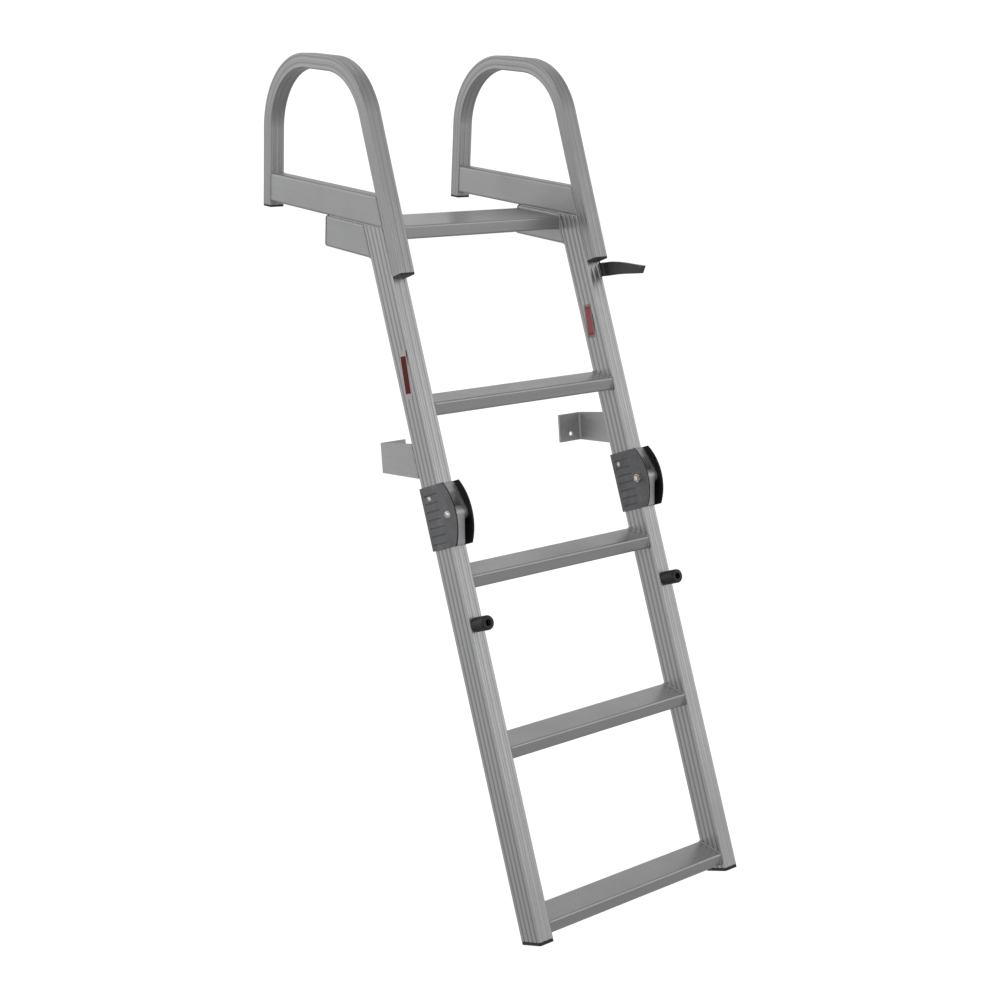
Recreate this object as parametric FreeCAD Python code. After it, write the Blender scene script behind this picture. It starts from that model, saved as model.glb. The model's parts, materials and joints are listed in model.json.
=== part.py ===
import FreeCAD, Part
import math
import os

# Folding boat boarding ladder, in millimetres.
#
# The ladder leans back towards the boat. +X is across it to the right, +Y goes back towards the
# deck and +Z goes up. X = 0 is midway between the rails. The upper section is fixed to the boat
# and the lower section folds up in front of it.
#
# Heights and depths are set out from the back corner of the rails' foot ends. Each piece is then
# moved as it is written, so that the origin is the deck mount, midway between the back ends of
# the two deck brackets.
#
# A point of a rail is given by its distance "along" the rail from the foot end and its distance
# "out" from the rail's back face, towards the climber.

os.makedirs("parts", exist_ok=True)
Vector = FreeCAD.Vector

# ---- rails -------------------------------------------------------------------------------------
ladder_width = 448.2          # over the outer faces of the rails
tube_width = 28.6             # across X
rail_depth = 50.8             # two inches
tube_wall = 2.0
tube_corner = 2.5             # outer corner radius
least_corner = 0.8            # least radius inside a tube
lean = math.radians(24.8)     # rails from the vertical
flute_pitch = 11.2            # shallow flutes run the length of every tube
flute_width = 6.4
flute_depth = 0.75
pivot_along = 700.0           # hinge pins above the foot ends
pivot_out = 63.5
rail_gap = 0.2                # between the butting ends of the upper and lower rails

# ---- steps -------------------------------------------------------------------------------------
lower_steps = {"bottom_step": 49.0, "fourth_step": 334.5, "third_step": 618.5}
second_step_along = 907.5
step_height = 23.0
step_corner = 3.5
step_wall = 2.2
step_cell_corner = 1.5
top_step_front = 494.0
top_step_back = 616.0
top_step_level = 1087.0
top_step_height = 23.2

# ---- handle hoops, arms and brackets -----------------------------------------------------------
hoop_depth = 25.4             # of the hoop's tube, square to X
hoop_lean = math.radians(23.7)
hoop_foot_along = 1098.5
hoop_top = 1357.5
hoop_back = 829.9
hoop_foot_level = 1085.5
hoop_bend = 122.3             # radius of both bends at the centre line
arm_bottom = 1092.5
arm_height = 50.8
arm_corner = 5.0
bracket_height = 53.6
bracket_back = 616.0
cap_thickness = 3.5
cap_inset = 0.15              # a cap's plate is this much inside the tube's outline
foot_cap_thickness = 5.5
plug_depth = 14.0
plug_clearance = 0.15

# ---- stand-off brackets ------------------------------------------------------------------------
standoff_thickness = 4.0
standoff_root = (769.5, 828.5)         # along the rail, bottom and top of the weld
standoff_flange_tilt = math.radians(10.0)
standoff_flange_middle = (438.0, 705.5)  # y and z of the middle of the flange's back face
standoff_flange_height = 50.8
standoff_flange_width = 52.5
standoff_bend = 8.0
standoff_hole_radius = 4.2
standoff_hole_drop = 12.0              # hole's centre below the middle of the flange

# ---- hinges ------------------------------------------------------------------------------------
plate_thickness = 3.6
plate_half_length = 52.7
plate_back = -1.0
plate_front = 84.5
plate_shoulder = 65.6         # out at the plate's two front corners
plate_round = 0.8
plate_relief = 0.4            # keeps the plates off the folding rails
plate_pad_radius = 12.0       # left standing round the pivot
groove_count = 7
groove_pitch = 13.5
groove_middle = -2.5
groove_width = 2.4
groove_depth = 1.0
groove_span = (7.0, 45.0)
knuckle_radius = 12.0
knuckle_reach = 51.0
upper_shoulder = 56.5         # out at the far end of the upper rail's knuckle
lower_shoulder = 58.0
tongue_width = 15.0
tongue_clearance = 0.3
slot_radius = 12.6
slot_gap = 0.65               # under the folded tongue
pivot_bolt_radius = 4.0
pivot_clearance = 0.05
bush_radius = 6.0
pivot_head = (7.0, 5.0)       # radius and height of a button head
pivot_nut = (6.5, 7.0)        # half width across the flats and height
plate_bolt_place = (32.0, 22.0)  # along and out from the pivot's level and the rail's back
plate_bolt_radius = 2.5
plate_head = (4.6, 3.0)
plate_nut = (4.0, 4.2)

# ---- bumpers -----------------------------------------------------------------------------------
bumper_along = 516.5
bumper_radius = 12.2
bumper_length = 33.0
bumper_round = 2.5
bumper_recess = (5.5, 14.0)   # radius and depth
bumper_screw = (4.4, 2.8, 2.4)  # head radius, head height, shank radius

# ---- fold catch --------------------------------------------------------------------------------
catch_axis_out = 53.5
catch_gap = 0.3
catch_base_along = (1068.0, 1098.0)
catch_base_out = (8.0, 49.8)
catch_base_thickness = 3.0
catch_screw_out = (18.0, 38.0)
catch_screw = (3.6, 2.4, 2.0)
catch_thickness = 6.5
catch_inset = 5.4             # the nose stands this far in from the arm
catch_nose = (146.2, 153.8)   # out, both sides of the nose
catch_pocket_out = (128.0, 141.0)
catch_pockets = ((1054.0, 1057.5), (1060.5, 1064.0))  # along, moulded in the hook's outer face
catch_pocket_depth = 1.5

# ---- labels ------------------------------------------------------------------------------------
label_thickness = 0.3
label_turn = 7.0

deck_mount = Vector(0, bracket_back + cap_thickness, arm_bottom - bracket_height / 2)
sin_lean = math.sin(lean)
cos_lean = math.cos(lean)
up_rail = Vector(0, sin_lean, cos_lean)
out_rail = Vector(0, -cos_lean, sin_lean)
across = Vector(1, 0, 0)
outer_x = ladder_width / 2
inner_x = outer_x - tube_width
middle_x = outer_x - tube_width / 2
sides = {"left": -1, "right": 1}


def rail_point(x, along, out):
    """A point in space from its place on the leaning rail."""
    return across * x + up_rail * along + out_rail * out


def save(name, shape):
    """Write one named piece, with the deck mount as its origin."""
    shape.translated(deck_mount * -1).exportStep("parts/" + name + ".step")


# ---- outlines ----------------------------------------------------------------------------------
def side_edges(start, end, flutes, at):
    """One side of a tube's outline, with its flutes cut in on the left of the way it runs."""
    length = math.dist(start, end)
    du = (end[0] - start[0]) / length
    dv = (end[1] - start[1]) / length

    def place(distance, inward):
        return at(start[0] + du * distance - dv * inward, start[1] + dv * distance + du * inward)

    edges = []
    reached = 0.0
    for index in range(flutes):
        middle = length / 2 + (index - (flutes - 1) / 2) * flute_pitch
        first = middle - flute_width / 2
        last = middle + flute_width / 2
        edges.append(Part.LineSegment(place(reached, 0), place(first, 0)).toShape())
        edges.append(Part.Arc(place(first, 0), place(middle, flute_depth), place(last, 0)).toShape())
        reached = last
    edges.append(Part.LineSegment(place(reached, 0), place(length, 0)).toShape())
    return edges


def rounded_outline(width, depth, corner, at, flutes=(0, 0)):
    """Closed rectangle with round corners. flutes counts them on the two kinds of side."""
    u = width / 2
    v = depth / 2
    corners = [(u, -v), (u, v), (-u, v), (-u, -v)]
    edges = []
    for index in range(4):
        here = corners[index]
        there = corners[(index + 1) % 4]
        length = math.dist(here, there)
        du = (there[0] - here[0]) / length
        dv = (there[1] - here[1]) / length
        start = (here[0] + du * corner, here[1] + dv * corner)
        end = (there[0] - du * corner, there[1] - dv * corner)
        count = flutes[1] if index % 2 == 0 else flutes[0]
        edges += side_edges(start, end, count, at)
        # The next side turns a quarter to the left.
        centre = (end[0] - dv * corner, end[1] + du * corner)
        half = math.sqrt(0.5) * corner
        middle = (centre[0] + (du + dv) * half, centre[1] + (dv - du) * half)
        finish = (there[0] - dv * corner, there[1] + du * corner)
        edges.append(Part.Arc(at(*end), at(*middle), at(*finish)).toShape())
    return Part.Wire(edges)


def inner_corner(corner, wall):
    """Radius of a tube's inner corners."""
    return max(corner - wall, least_corner)


def tube_face(width, depth, corner, at, flutes=(0, 0)):
    """Section of a hollow tube."""
    outside = Part.Face(rounded_outline(width, depth, corner, at, flutes))
    inside = Part.Face(rounded_outline(width - 2 * tube_wall, depth - 2 * tube_wall,
                                       inner_corner(corner, tube_wall), at))
    return outside.cut(inside).Faces[0]


def end_cap(width, depth, corner, at, outward, thickness=cap_thickness):
    """Moulded cap: a thin plate over the tube's end and a plug inside the tube."""
    outline = rounded_outline(width - 2 * cap_inset, depth - 2 * cap_inset, corner, at)
    plate = Part.Face(outline).extrude(outward * thickness)
    plug_width = width - 2 * tube_wall - 2 * plug_clearance
    plug_height = depth - 2 * tube_wall - 2 * plug_clearance
    plug_outline = rounded_outline(plug_width, plug_height, inner_corner(corner, tube_wall), at)
    plug = Part.Face(plug_outline).extrude(outward * -plug_depth)
    return plate.fuse(plug).removeSplitter()


def prism(points, x_start, x_end):
    """A flat polygon of (y, z) points, as thick as the stretch of X."""
    wire = Part.makePolygon([Vector(x_start, y, z) for y, z in points + points[:1]])
    return Part.Face(wire).extrude(across * (x_end - x_start))


def rail_prism(points, x_start, x_end):
    """A flat polygon of (along, out) points, as thick as the stretch of X."""
    corners = [rail_point(x_start, along, out) for along, out in points + points[:1]]
    return Part.Face(Part.makePolygon(corners)).extrude(across * (x_end - x_start))


def cross_pin(radius, along, out, x_start, x_end):
    """Round bar across the ladder."""
    base = rail_point(min(x_start, x_end), along, out)
    return Part.makeCylinder(radius, abs(x_end - x_start), base, across)


# ---- rails, feet and steps ---------------------------------------------------------------------
def rail(x_middle, start, end):
    def at(u, v):
        return rail_point(x_middle + u, start, rail_depth / 2 + v)

    face = tube_face(tube_width, rail_depth, tube_corner, at, (2, 4))
    return face.extrude(up_rail * (end - start))


def upper_rail(side):
    """Upper rail, cut level under the arm and drilled for the hinge plates' bolt."""
    tube = rail(side * middle_x, pivot_along, hoop_foot_along + 130)
    above = Part.makeBox(60, 400, 300, Vector(side * middle_x - 30, 300, arm_bottom))
    along = pivot_along + plate_bolt_place[0]
    drill = cross_pin(plate_bolt_radius + 0.1, along, plate_bolt_place[1],
                      side * (inner_x - 5), side * (outer_x + 5))
    tube = tube.cut(above).cut(drill)
    if side > 0:
        for out in catch_screw_out:
            middle = sum(catch_base_along) / 2
            tube = tube.cut(cross_pin(catch_screw[2] + 0.1, middle, out, outer_x - 5, outer_x + 5))
    return tube


def lower_rail(side):
    """Lower rail, drilled in front for the bumper's screw."""
    tube = rail(side * middle_x, 0.0, pivot_along - rail_gap)
    drill = Part.makeCylinder(bumper_screw[2] + 0.1, 8,
                              rail_point(side * middle_x, bumper_along, rail_depth - 4), out_rail)
    return tube.cut(drill)


def foot_cap(side):
    def at(u, v):
        return rail_point(side * middle_x + u, 0, rail_depth / 2 + v)

    return end_cap(tube_width, rail_depth, tube_corner, at, up_rail * -1, foot_cap_thickness)


def step(y_front, y_back, z_top, height, cells):
    """Level hollow extrusion from rail to rail, with inner webs between its cells."""
    depth = y_back - y_front
    y_middle = (y_front + y_back) / 2
    z_middle = z_top - height / 2

    def at(u, v):
        return Vector(-inner_x, y_middle + u, z_middle + v)

    section = Part.Face(rounded_outline(depth, height, step_corner, at))
    cell_depth = (depth - (cells + 1) * step_wall) / cells
    for index in range(cells):
        shift = -depth / 2 + step_wall + cell_depth / 2 + index * (cell_depth + step_wall)

        def cell_at(u, v, shift=shift):
            return at(u + shift, v)

        cell = Part.Face(rounded_outline(cell_depth, height - 2 * step_wall, step_cell_corner, cell_at))
        section = section.cut(cell)
    return section.Faces[0].extrude(across * (2 * inner_x))


def rung(along):
    """Step whose level top runs from the rails' back faces to their front faces."""
    corner = rail_point(0, along, 0)
    return step(corner.y - rail_depth / cos_lean, corner.y, corner.z, step_height, 2)


# ---- handle hoops, arms and deck brackets ------------------------------------------------------
hoop_up = Vector(0, math.sin(hoop_lean), math.cos(hoop_lean))
hoop_in = Vector(0, math.cos(hoop_lean), -math.sin(hoop_lean))   # from the leg towards the boat
hoop_foot = rail_point(0, hoop_foot_along, rail_depth + hoop_depth / 2)


def hoop_leg_at(side, distance):
    """Mapping from section coordinates to the front leg's section, a distance up the leg."""
    def at(u, v):
        return hoop_foot + across * (side * middle_x + u) - hoop_in * v + hoop_up * distance

    return at


def handle_hoop(side):
    """One square tube: leaning front leg, bend, level top, bend and upright rear leg."""
    face = tube_face(tube_width, hoop_depth, tube_corner, hoop_leg_at(side, 0), (2, 2))
    centre_top = hoop_top - hoop_depth / 2
    centre_back = hoop_back - hoop_depth / 2
    turn = math.pi / 2 - hoop_lean
    tangent = hoop_bend * math.tan(turn / 2)
    leg_length = (centre_top - hoop_foot.z) / math.cos(hoop_lean) - tangent
    bend_start = hoop_foot + hoop_up * leg_length
    bend_end_y = bend_start.y + tangent * (1 + math.sin(hoop_lean))
    front_centre = bend_start + hoop_in * hoop_bend
    top_length = centre_back - hoop_bend - bend_end_y
    rear_centre = Vector(0, centre_back - hoop_bend, centre_top - hoop_bend)

    pieces = [face.extrude(hoop_up * leg_length)]
    face = face.translated(hoop_up * leg_length)
    pieces.append(face.revolve(front_centre, across, -math.degrees(turn)))
    face = face.rotated(front_centre, across, -math.degrees(turn))
    pieces.append(face.extrude(Vector(0, top_length, 0)))
    face = face.translated(Vector(0, top_length, 0))
    pieces.append(face.revolve(rear_centre, across, -90))
    face = face.rotated(rear_centre, across, -90)
    pieces.append(face.extrude(Vector(0, 0, hoop_foot_level - rear_centre.z)))
    return pieces[0].multiFuse(pieces[1:]).removeSplitter()


def hoop_front_cap(side):
    return end_cap(tube_width, hoop_depth, tube_corner, hoop_leg_at(side, 0), hoop_up * -1)


def hoop_rear_cap(side):
    def at(u, v):
        return Vector(side * middle_x + u, hoop_back - hoop_depth / 2 + v, hoop_foot_level)

    return end_cap(tube_width, hoop_depth, tube_corner, at, Vector(0, 0, -1))


def level_tube(side, z_bottom, height, y_start, y_end):
    """Smooth rectangular tube running level towards the boat."""
    def at(u, v):
        return Vector(side * middle_x + u, y_start, z_bottom + height / 2 + v)

    face = tube_face(tube_width, height, arm_corner, at)
    return face.extrude(Vector(0, y_end - y_start, 0))


def deck_arm(side):
    """Arm between the hoop's two legs, cut to the front leg's slope."""
    tube = level_tube(side, arm_bottom, arm_height, 400, hoop_back - hoop_depth)
    foot = hoop_foot + hoop_in * (hoop_depth / 2)
    low = foot - hoop_up * 100
    high = foot + hoop_up * 300
    front = prism([(low.y, low.z), (high.y, high.z), (high.y - 300, high.z), (low.y - 300, low.z)],
                  side * middle_x - 30, side * middle_x + 30)
    return tube.cut(front)


def deck_bracket(side):
    """Stub under the arm, cut to the slope of the rail's back face that it is welded to."""
    tube = level_tube(side, arm_bottom - bracket_height, bracket_height, 400, bracket_back)
    front = rail_prism([(1000, 0), (1400, 0), (1400, 200), (1000, 200)],
                       side * middle_x - 30, side * middle_x + 30)
    return tube.cut(front)


def bracket_cap(side):
    z_middle = arm_bottom - bracket_height / 2

    def at(u, v):
        return Vector(side * middle_x + u, bracket_back, z_middle + v)

    return end_cap(tube_width, bracket_height, arm_corner, at, Vector(0, 1, 0))


def standoff_bracket(side):
    """Bent plate: a web welded to the rail's back and a drilled flange turned inwards."""
    tilt = standoff_flange_tilt
    flange_up = Vector(0, math.sin(tilt), math.cos(tilt))
    flange_back = Vector(0, math.cos(tilt), -math.sin(tilt))
    middle = Vector(0, standoff_flange_middle[0], standoff_flange_middle[1])
    base = middle - flange_up * 60
    reach = 140.0
    thickness = standoff_thickness
    bend = standoff_bend

    def at(inward, forward):
        return base + across * (side * (outer_x - inward)) - flange_back * forward

    half = math.sqrt(0.5)
    inner_bend = bend - thickness
    outline = [
        Part.LineSegment(at(0, reach), at(0, bend)),
        Part.Arc(at(0, bend), at(bend - bend * half, bend - bend * half), at(bend, 0)),
        Part.LineSegment(at(bend, 0), at(standoff_flange_width, 0)),
        Part.LineSegment(at(standoff_flange_width, 0), at(standoff_flange_width, thickness)),
        Part.LineSegment(at(standoff_flange_width, thickness), at(bend, thickness)),
        Part.Arc(at(bend, thickness), at(bend - inner_bend * half, bend - inner_bend * half),
                 at(thickness, bend)),
        Part.LineSegment(at(thickness, bend), at(thickness, reach)),
        Part.LineSegment(at(thickness, reach), at(0, reach)),
    ]
    face = Part.Face(Part.Wire([edge.toShape() for edge in outline]))
    plate = face.extrude(flange_up * 120)

    low = rail_point(0, standoff_root[0], 0)
    high = rail_point(0, standoff_root[1], 0)
    top = middle + flange_up * (standoff_flange_height / 2)
    bottom = middle - flange_up * (standoff_flange_height / 2)
    beyond_top = top + flange_back * 5
    beyond_bottom = bottom + flange_back * 5
    corners = [low, bottom, beyond_bottom, beyond_top, top, high]
    side_view = prism([(corner.y, corner.z) for corner in corners],
                      side * outer_x - 60, side * outer_x + 60)
    hole_base = middle - flange_up * standoff_hole_drop - flange_back * 10
    hole_base.x = side * (outer_x - standoff_flange_width / 2)
    hole = Part.makeCylinder(standoff_hole_radius, 20, hole_base, flange_back)
    return plate.common(side_view).cut(hole)


# ---- hinges ------------------------------------------------------------------------------------
def tangent_point(point, centre, radius, turn):
    """Where a line from the point touches the circle, on the side given by turn, +1 or -1."""
    gap_u = centre[0] - point[0]
    gap_v = centre[1] - point[1]
    distance = math.hypot(gap_u, gap_v)
    swing = turn * math.asin(radius / distance)
    heading = math.atan2(gap_v, gap_u) + swing
    reach = math.sqrt(distance * distance - radius * radius)
    return point[0] + math.cos(heading) * reach, point[1] + math.sin(heading) * reach


def knuckle(side, way, width, shoulder_out):
    """Ear on the front of a rail that rounds the pivot. way is +1 above the pivot, -1 below."""
    start_x = side * middle_x - width / 2
    shoulder = (knuckle_reach, shoulder_out)
    touch = tangent_point(shoulder, (0, pivot_out), knuckle_radius, -1)
    back = (0.0, pivot_out - knuckle_radius)

    def at(offset, out):
        return rail_point(start_x, pivot_along + way * offset, out)

    outline = [
        Part.LineSegment(at(1.0, rail_depth), at(knuckle_reach, rail_depth)),
        Part.LineSegment(at(knuckle_reach, rail_depth), at(*shoulder)),
        Part.LineSegment(at(*shoulder), at(*touch)),
        Part.Arc(at(*touch), at(-knuckle_radius, pivot_out), at(*back)),
        Part.LineSegment(at(*back), at(1.0, rail_depth)),
    ]
    face = Part.Face(Part.Wire([edge.toShape() for edge in outline]))
    return face.extrude(across * width)


def upper_knuckle(side):
    """Fork whose slot clears the tongue from hanging to folded."""
    slot_width = tongue_width + 2 * tongue_clearance
    start_x = side * middle_x - slot_width / 2
    end_x = start_x + slot_width
    shoulder = (knuckle_reach, 2 * pivot_out - lower_shoulder - slot_gap)
    touch = tangent_point(shoulder, (0, pivot_out), slot_radius, 1)
    far = (2 * shoulder[0] - touch[0], 2 * shoulder[1] - touch[1])
    slot = rail_prism([(pivot_along + touch[0], touch[1]), (pivot_along + far[0], far[1]),
                       (pivot_along + far[0], 120), (pivot_along - 40, 120),
                       (pivot_along - 40, pivot_out), (pivot_along, pivot_out)], start_x, end_x)
    disc = cross_pin(slot_radius, pivot_along, pivot_out, start_x, end_x)
    bore = cross_pin(pivot_bolt_radius + pivot_clearance, pivot_along, pivot_out,
                     side * (inner_x - 5), side * (outer_x + 5))
    return knuckle(side, 1, tube_width, upper_shoulder).cut(slot).cut(disc).cut(bore)


def lower_knuckle(side):
    """Tongue with a hole for the pivot's bush."""
    hole = cross_pin(bush_radius, pivot_along, pivot_out, side * (inner_x - 5), side * (outer_x + 5))
    return knuckle(side, -1, tongue_width, lower_shoulder).cut(hole)


def pivot_bush(side):
    half = side * tongue_width / 2
    outside = cross_pin(bush_radius, pivot_along, pivot_out, side * middle_x - half, side * middle_x + half)
    bore = cross_pin(pivot_bolt_radius + pivot_clearance, pivot_along, pivot_out,
                     side * middle_x - 2 * half, side * middle_x + 2 * half)
    return outside.cut(bore)


def hinge_plate(side, outer):
    """Moulded guide plate with a bowed front and cross grooves.

    Only its seat on the upper rail and a pad round the pivot touch. The rest stands clear of the
    folding rail.
    """
    way = side if outer else -side
    inside_x = side * (outer_x if outer else inner_x)
    outside_x = inside_x + way * plate_thickness

    def at(offset, out):
        return rail_point(inside_x, pivot_along + offset, out)

    half = plate_half_length
    outline = [
        Part.LineSegment(at(-half, plate_back), at(half, plate_back)),
        Part.LineSegment(at(half, plate_back), at(half, plate_shoulder)),
        Part.Arc(at(half, plate_shoulder), at(0, plate_front), at(-half, plate_shoulder)),
        Part.LineSegment(at(-half, plate_shoulder), at(-half, plate_back)),
    ]
    face = Part.Face(Part.Wire([edge.toShape() for edge in outline]))
    plate = face.extrude(across * (way * plate_thickness))
    rim = [edge for edge in plate.Edges if abs(edge.CenterOfMass.x - outside_x) < 0.01]
    plate = plate.makeFillet(plate_round, rim)

    for index in range(groove_count):
        middle = pivot_along + groove_middle + (index - (groove_count - 1) / 2) * groove_pitch
        low = middle - groove_width / 2
        high = middle + groove_width / 2
        groove = rail_prism([(low, groove_span[0]), (high, groove_span[0]),
                             (high, groove_span[1]), (low, groove_span[1])],
                            outside_x - way * groove_depth, outside_x + way)
        plate = plate.cut(groove)
    start_x = inside_x - way
    end_x = inside_x + way * plate_relief
    relief = rail_prism([(pivot_along - 80, -10), (pivot_along + 80, -10),
                         (pivot_along + 80, 100), (pivot_along - 80, 100)], start_x, end_x)
    pad = rail_prism([(pivot_along + 1.0, -20), (pivot_along + 90, -20),
                      (pivot_along + 90, rail_depth), (pivot_along + 1.0, rail_depth)], start_x, end_x)
    relief = relief.cut(pad).cut(cross_pin(plate_pad_radius, pivot_along, pivot_out, start_x, end_x))
    pivot_hole = cross_pin(pivot_bolt_radius + pivot_clearance, pivot_along, pivot_out,
                           inside_x - 10, inside_x + 10)
    bolt_hole = cross_pin(plate_bolt_radius + 0.1, pivot_along + plate_bolt_place[0],
                          plate_bolt_place[1], inside_x - 10, inside_x + 10)
    return plate.cut(relief).cut(pivot_hole).cut(bolt_hole)


def button_bolt(side, radius, head, nut, along, out):
    """Bolt from the outer plate to beyond the inner one, with a domed socket head outside."""
    seat_x = side * (outer_x + plate_thickness)
    end_x = side * (inner_x - plate_thickness - nut[1] - 1.5)
    head_radius, head_height = head
    shank = cross_pin(radius, along, out, end_x, seat_x)
    centre = rail_point(seat_x, along, out)
    ball_radius = (head_radius ** 2 + head_height ** 2) / (2 * head_height)
    ball = Part.makeSphere(ball_radius, centre - across * (side * (ball_radius - head_height)))
    keep = Part.makeCylinder(head_radius + 1, head_height + 1, centre, across * side)
    socket = Part.makeCylinder(head_radius * 0.38, head_height * 0.6,
                               centre + across * (side * head_height * 0.5), across * side)
    dome = ball.common(keep).cut(socket)
    return shank.fuse(dome)


def hex_nut(side, radius, nut, along, out):
    """Nut against the inner plate."""
    half_flat, height = nut
    seat_x = side * (inner_x - plate_thickness)
    corner = half_flat / math.cos(math.pi / 6)
    points = []
    for index in range(7):
        angle = index * math.pi / 3
        points.append(rail_point(seat_x, along + corner * math.cos(angle),
                                 out + corner * math.sin(angle)))
    body = Part.Face(Part.makePolygon(points)).extrude(across * (-side * height))
    cone = Part.makeCone(corner - 0.4, corner + 2.5, height, rail_point(seat_x - side * height, along, out),
                         across * side)
    bore = cross_pin(radius + pivot_clearance, along, out, seat_x - 20, seat_x + 20)
    return body.common(cone).cut(bore)


# ---- bumpers -----------------------------------------------------------------------------------
def bumper(side):
    """Rubber buffer that the folded section rests on, with a recess for its screw."""
    base = rail_point(side * middle_x, bumper_along, rail_depth)
    body = Part.makeCylinder(bumper_radius, bumper_length, base, out_rail)
    rim = [edge for edge in body.Edges
           if (edge.CenterOfMass - base).dot(out_rail) > bumper_length - 0.1]
    body = body.makeFillet(bumper_round, rim)
    recess = Part.makeCylinder(bumper_recess[0], bumper_recess[1] + 1,
                               base + out_rail * (bumper_length - bumper_recess[1]), out_rail)
    hole = Part.makeCylinder(bumper_screw[2] + 0.1, bumper_length, base, out_rail)
    return body.cut(recess).cut(hole)


def bumper_screw_shape(side):
    base = rail_point(side * middle_x, bumper_along, rail_depth)
    head_radius, head_height, shank_radius = bumper_screw
    seat = base + out_rail * (bumper_length - bumper_recess[1])
    head = Part.makeCone(head_radius, head_radius * 0.8, head_height, seat, out_rail)
    shank = Part.makeCylinder(shank_radius, bumper_length - bumper_recess[1] + 6,
                              base - out_rail * 6, out_rail)
    return head.fuse(shank).removeSplitter()


# ---- fold catch --------------------------------------------------------------------------------
def catch_base():
    """Part of the catch that is screwed to the right rail's outer face."""
    low, high = catch_base_along
    back, front = catch_base_out
    plate = rail_prism([(low, back), (high, back), (high, front), (low, front)],
                       outer_x, outer_x + catch_base_thickness)
    for out in catch_screw_out:
        plate = plate.cut(cross_pin(catch_screw[2] + 0.1, sum(catch_base_along) / 2, out,
                                    outer_x - 5, outer_x + 20))
    return plate


def catch_screws():
    """Two pan-head screws, kept together."""
    head_radius, head_height, shank_radius = catch_screw
    seat = outer_x + catch_base_thickness
    screws = []
    for out in catch_screw_out:
        along = sum(catch_base_along) / 2
        shank = cross_pin(shank_radius, along, out, outer_x - 6, seat)
        head = Part.makeCone(head_radius, head_radius * 0.75, head_height,
                             rail_point(seat, along, out), across)
        screws.append(shank.fuse(head).removeSplitter())
    return Part.makeCompound(screws)


def fold_catch():
    """Tapering hook that stands forward from the rail, with a nose turned in at its tip."""
    start_x = outer_x + catch_gap
    arm = [(1092.5, catch_axis_out - 1.9), (1088.5, 72.0), (1083.0, 90.0), (1075.5, 110.0),
           (1067.5, 129.0), (1057.5, catch_nose[1]), (1047.0, catch_nose[0] - 3.0), (1057.0, 104.0),
           (1062.0, 82.0), (1067.5, catch_axis_out - 1.9)]
    inner_face = start_x + catch_inset
    body = rail_prism(arm, inner_face - catch_inset, inner_face + catch_thickness)
    hollow = rail_prism([(1000, catch_axis_out + 6), (1000, catch_nose[0]),
                         (1150, catch_nose[0]), (1150, catch_axis_out + 6)],
                        start_x - 1, inner_face)
    ramp = rail_prism([(1000, catch_nose[1] + 4), (1000, catch_nose[1] - 7),
                       (1150, catch_nose[1] - 7), (1150, catch_nose[1] + 4)], start_x - 8, start_x)
    ramp = ramp.rotated(rail_point(start_x, 1060, catch_nose[0] + 3.0), up_rail, 35)
    body = body.cut(hollow).cut(ramp)
    outer_face = inner_face + catch_thickness
    back, front = catch_pocket_out
    for low, high in catch_pockets:
        pocket = rail_prism([(low + 2, back), (high + 2, back), (high - 3, front), (low - 3, front)],
                            outer_face - catch_pocket_depth, outer_face + 1)
        body = body.cut(pocket)
    return body


# ---- labels ------------------------------------------------------------------------------------
def label(x_face, way, along, out, length, width, turn):
    """Plain sticker on the side of a rail."""
    box = rail_prism([(along - length / 2, out - width / 2), (along + length / 2, out - width / 2),
                      (along + length / 2, out + width / 2), (along - length / 2, out + width / 2)],
                     x_face, x_face + way * label_thickness)
    return box.rotated(rail_point(x_face, along, out), across, turn)


# ---- write every piece -------------------------------------------------------------------------
plate_bolt_along = pivot_along + plate_bolt_place[0]
plate_bolt_out = plate_bolt_place[1]
for name, side in sides.items():
    save(name + "_upper_rail", upper_rail(side))
    save(name + "_lower_rail", lower_rail(side))
    save(name + "_foot_cap", foot_cap(side))
    save(name + "_handle_hoop", handle_hoop(side))
    save(name + "_hoop_front_cap", hoop_front_cap(side))
    save(name + "_hoop_rear_cap", hoop_rear_cap(side))
    save(name + "_deck_arm", deck_arm(side))
    save(name + "_deck_bracket", deck_bracket(side))
    save(name + "_bracket_cap", bracket_cap(side))
    save(name + "_standoff_bracket", standoff_bracket(side))
    save(name + "_upper_knuckle", upper_knuckle(side))
    save(name + "_lower_knuckle", lower_knuckle(side))
    save(name + "_pivot_bush", pivot_bush(side))
    save(name + "_outer_hinge_plate", hinge_plate(side, True))
    save(name + "_inner_hinge_plate", hinge_plate(side, False))
    save(name + "_pivot_bolt",
         button_bolt(side, pivot_bolt_radius, pivot_head, pivot_nut, pivot_along, pivot_out))
    save(name + "_pivot_nut", hex_nut(side, pivot_bolt_radius, pivot_nut, pivot_along, pivot_out))
    save(name + "_plate_bolt",
         button_bolt(side, plate_bolt_radius, plate_head, plate_nut, plate_bolt_along, plate_bolt_out))
    save(name + "_plate_nut",
         hex_nut(side, plate_bolt_radius, plate_nut, plate_bolt_along, plate_bolt_out))
    save(name + "_bumper", bumper(side))
    save(name + "_bumper_screw", bumper_screw_shape(side))

for name, along in lower_steps.items():
    save(name, rung(along))
save("second_step", rung(second_step_along))
save("top_step", step(top_step_front, top_step_back, top_step_level, top_step_height, 4))
save("catch_base", catch_base())
save("catch_screws", catch_screws())
save("fold_catch", fold_catch())
save("left_label", label(-outer_x, -1, 939.0, 28.0, 80.0, 19.0, label_turn))
save("right_label", label(inner_x, -1, 995.0, 22.0, 60.0, 19.0, label_turn))
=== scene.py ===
import json
import math

import bmesh
import bpy
from mathutils import Matrix, Vector

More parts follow.
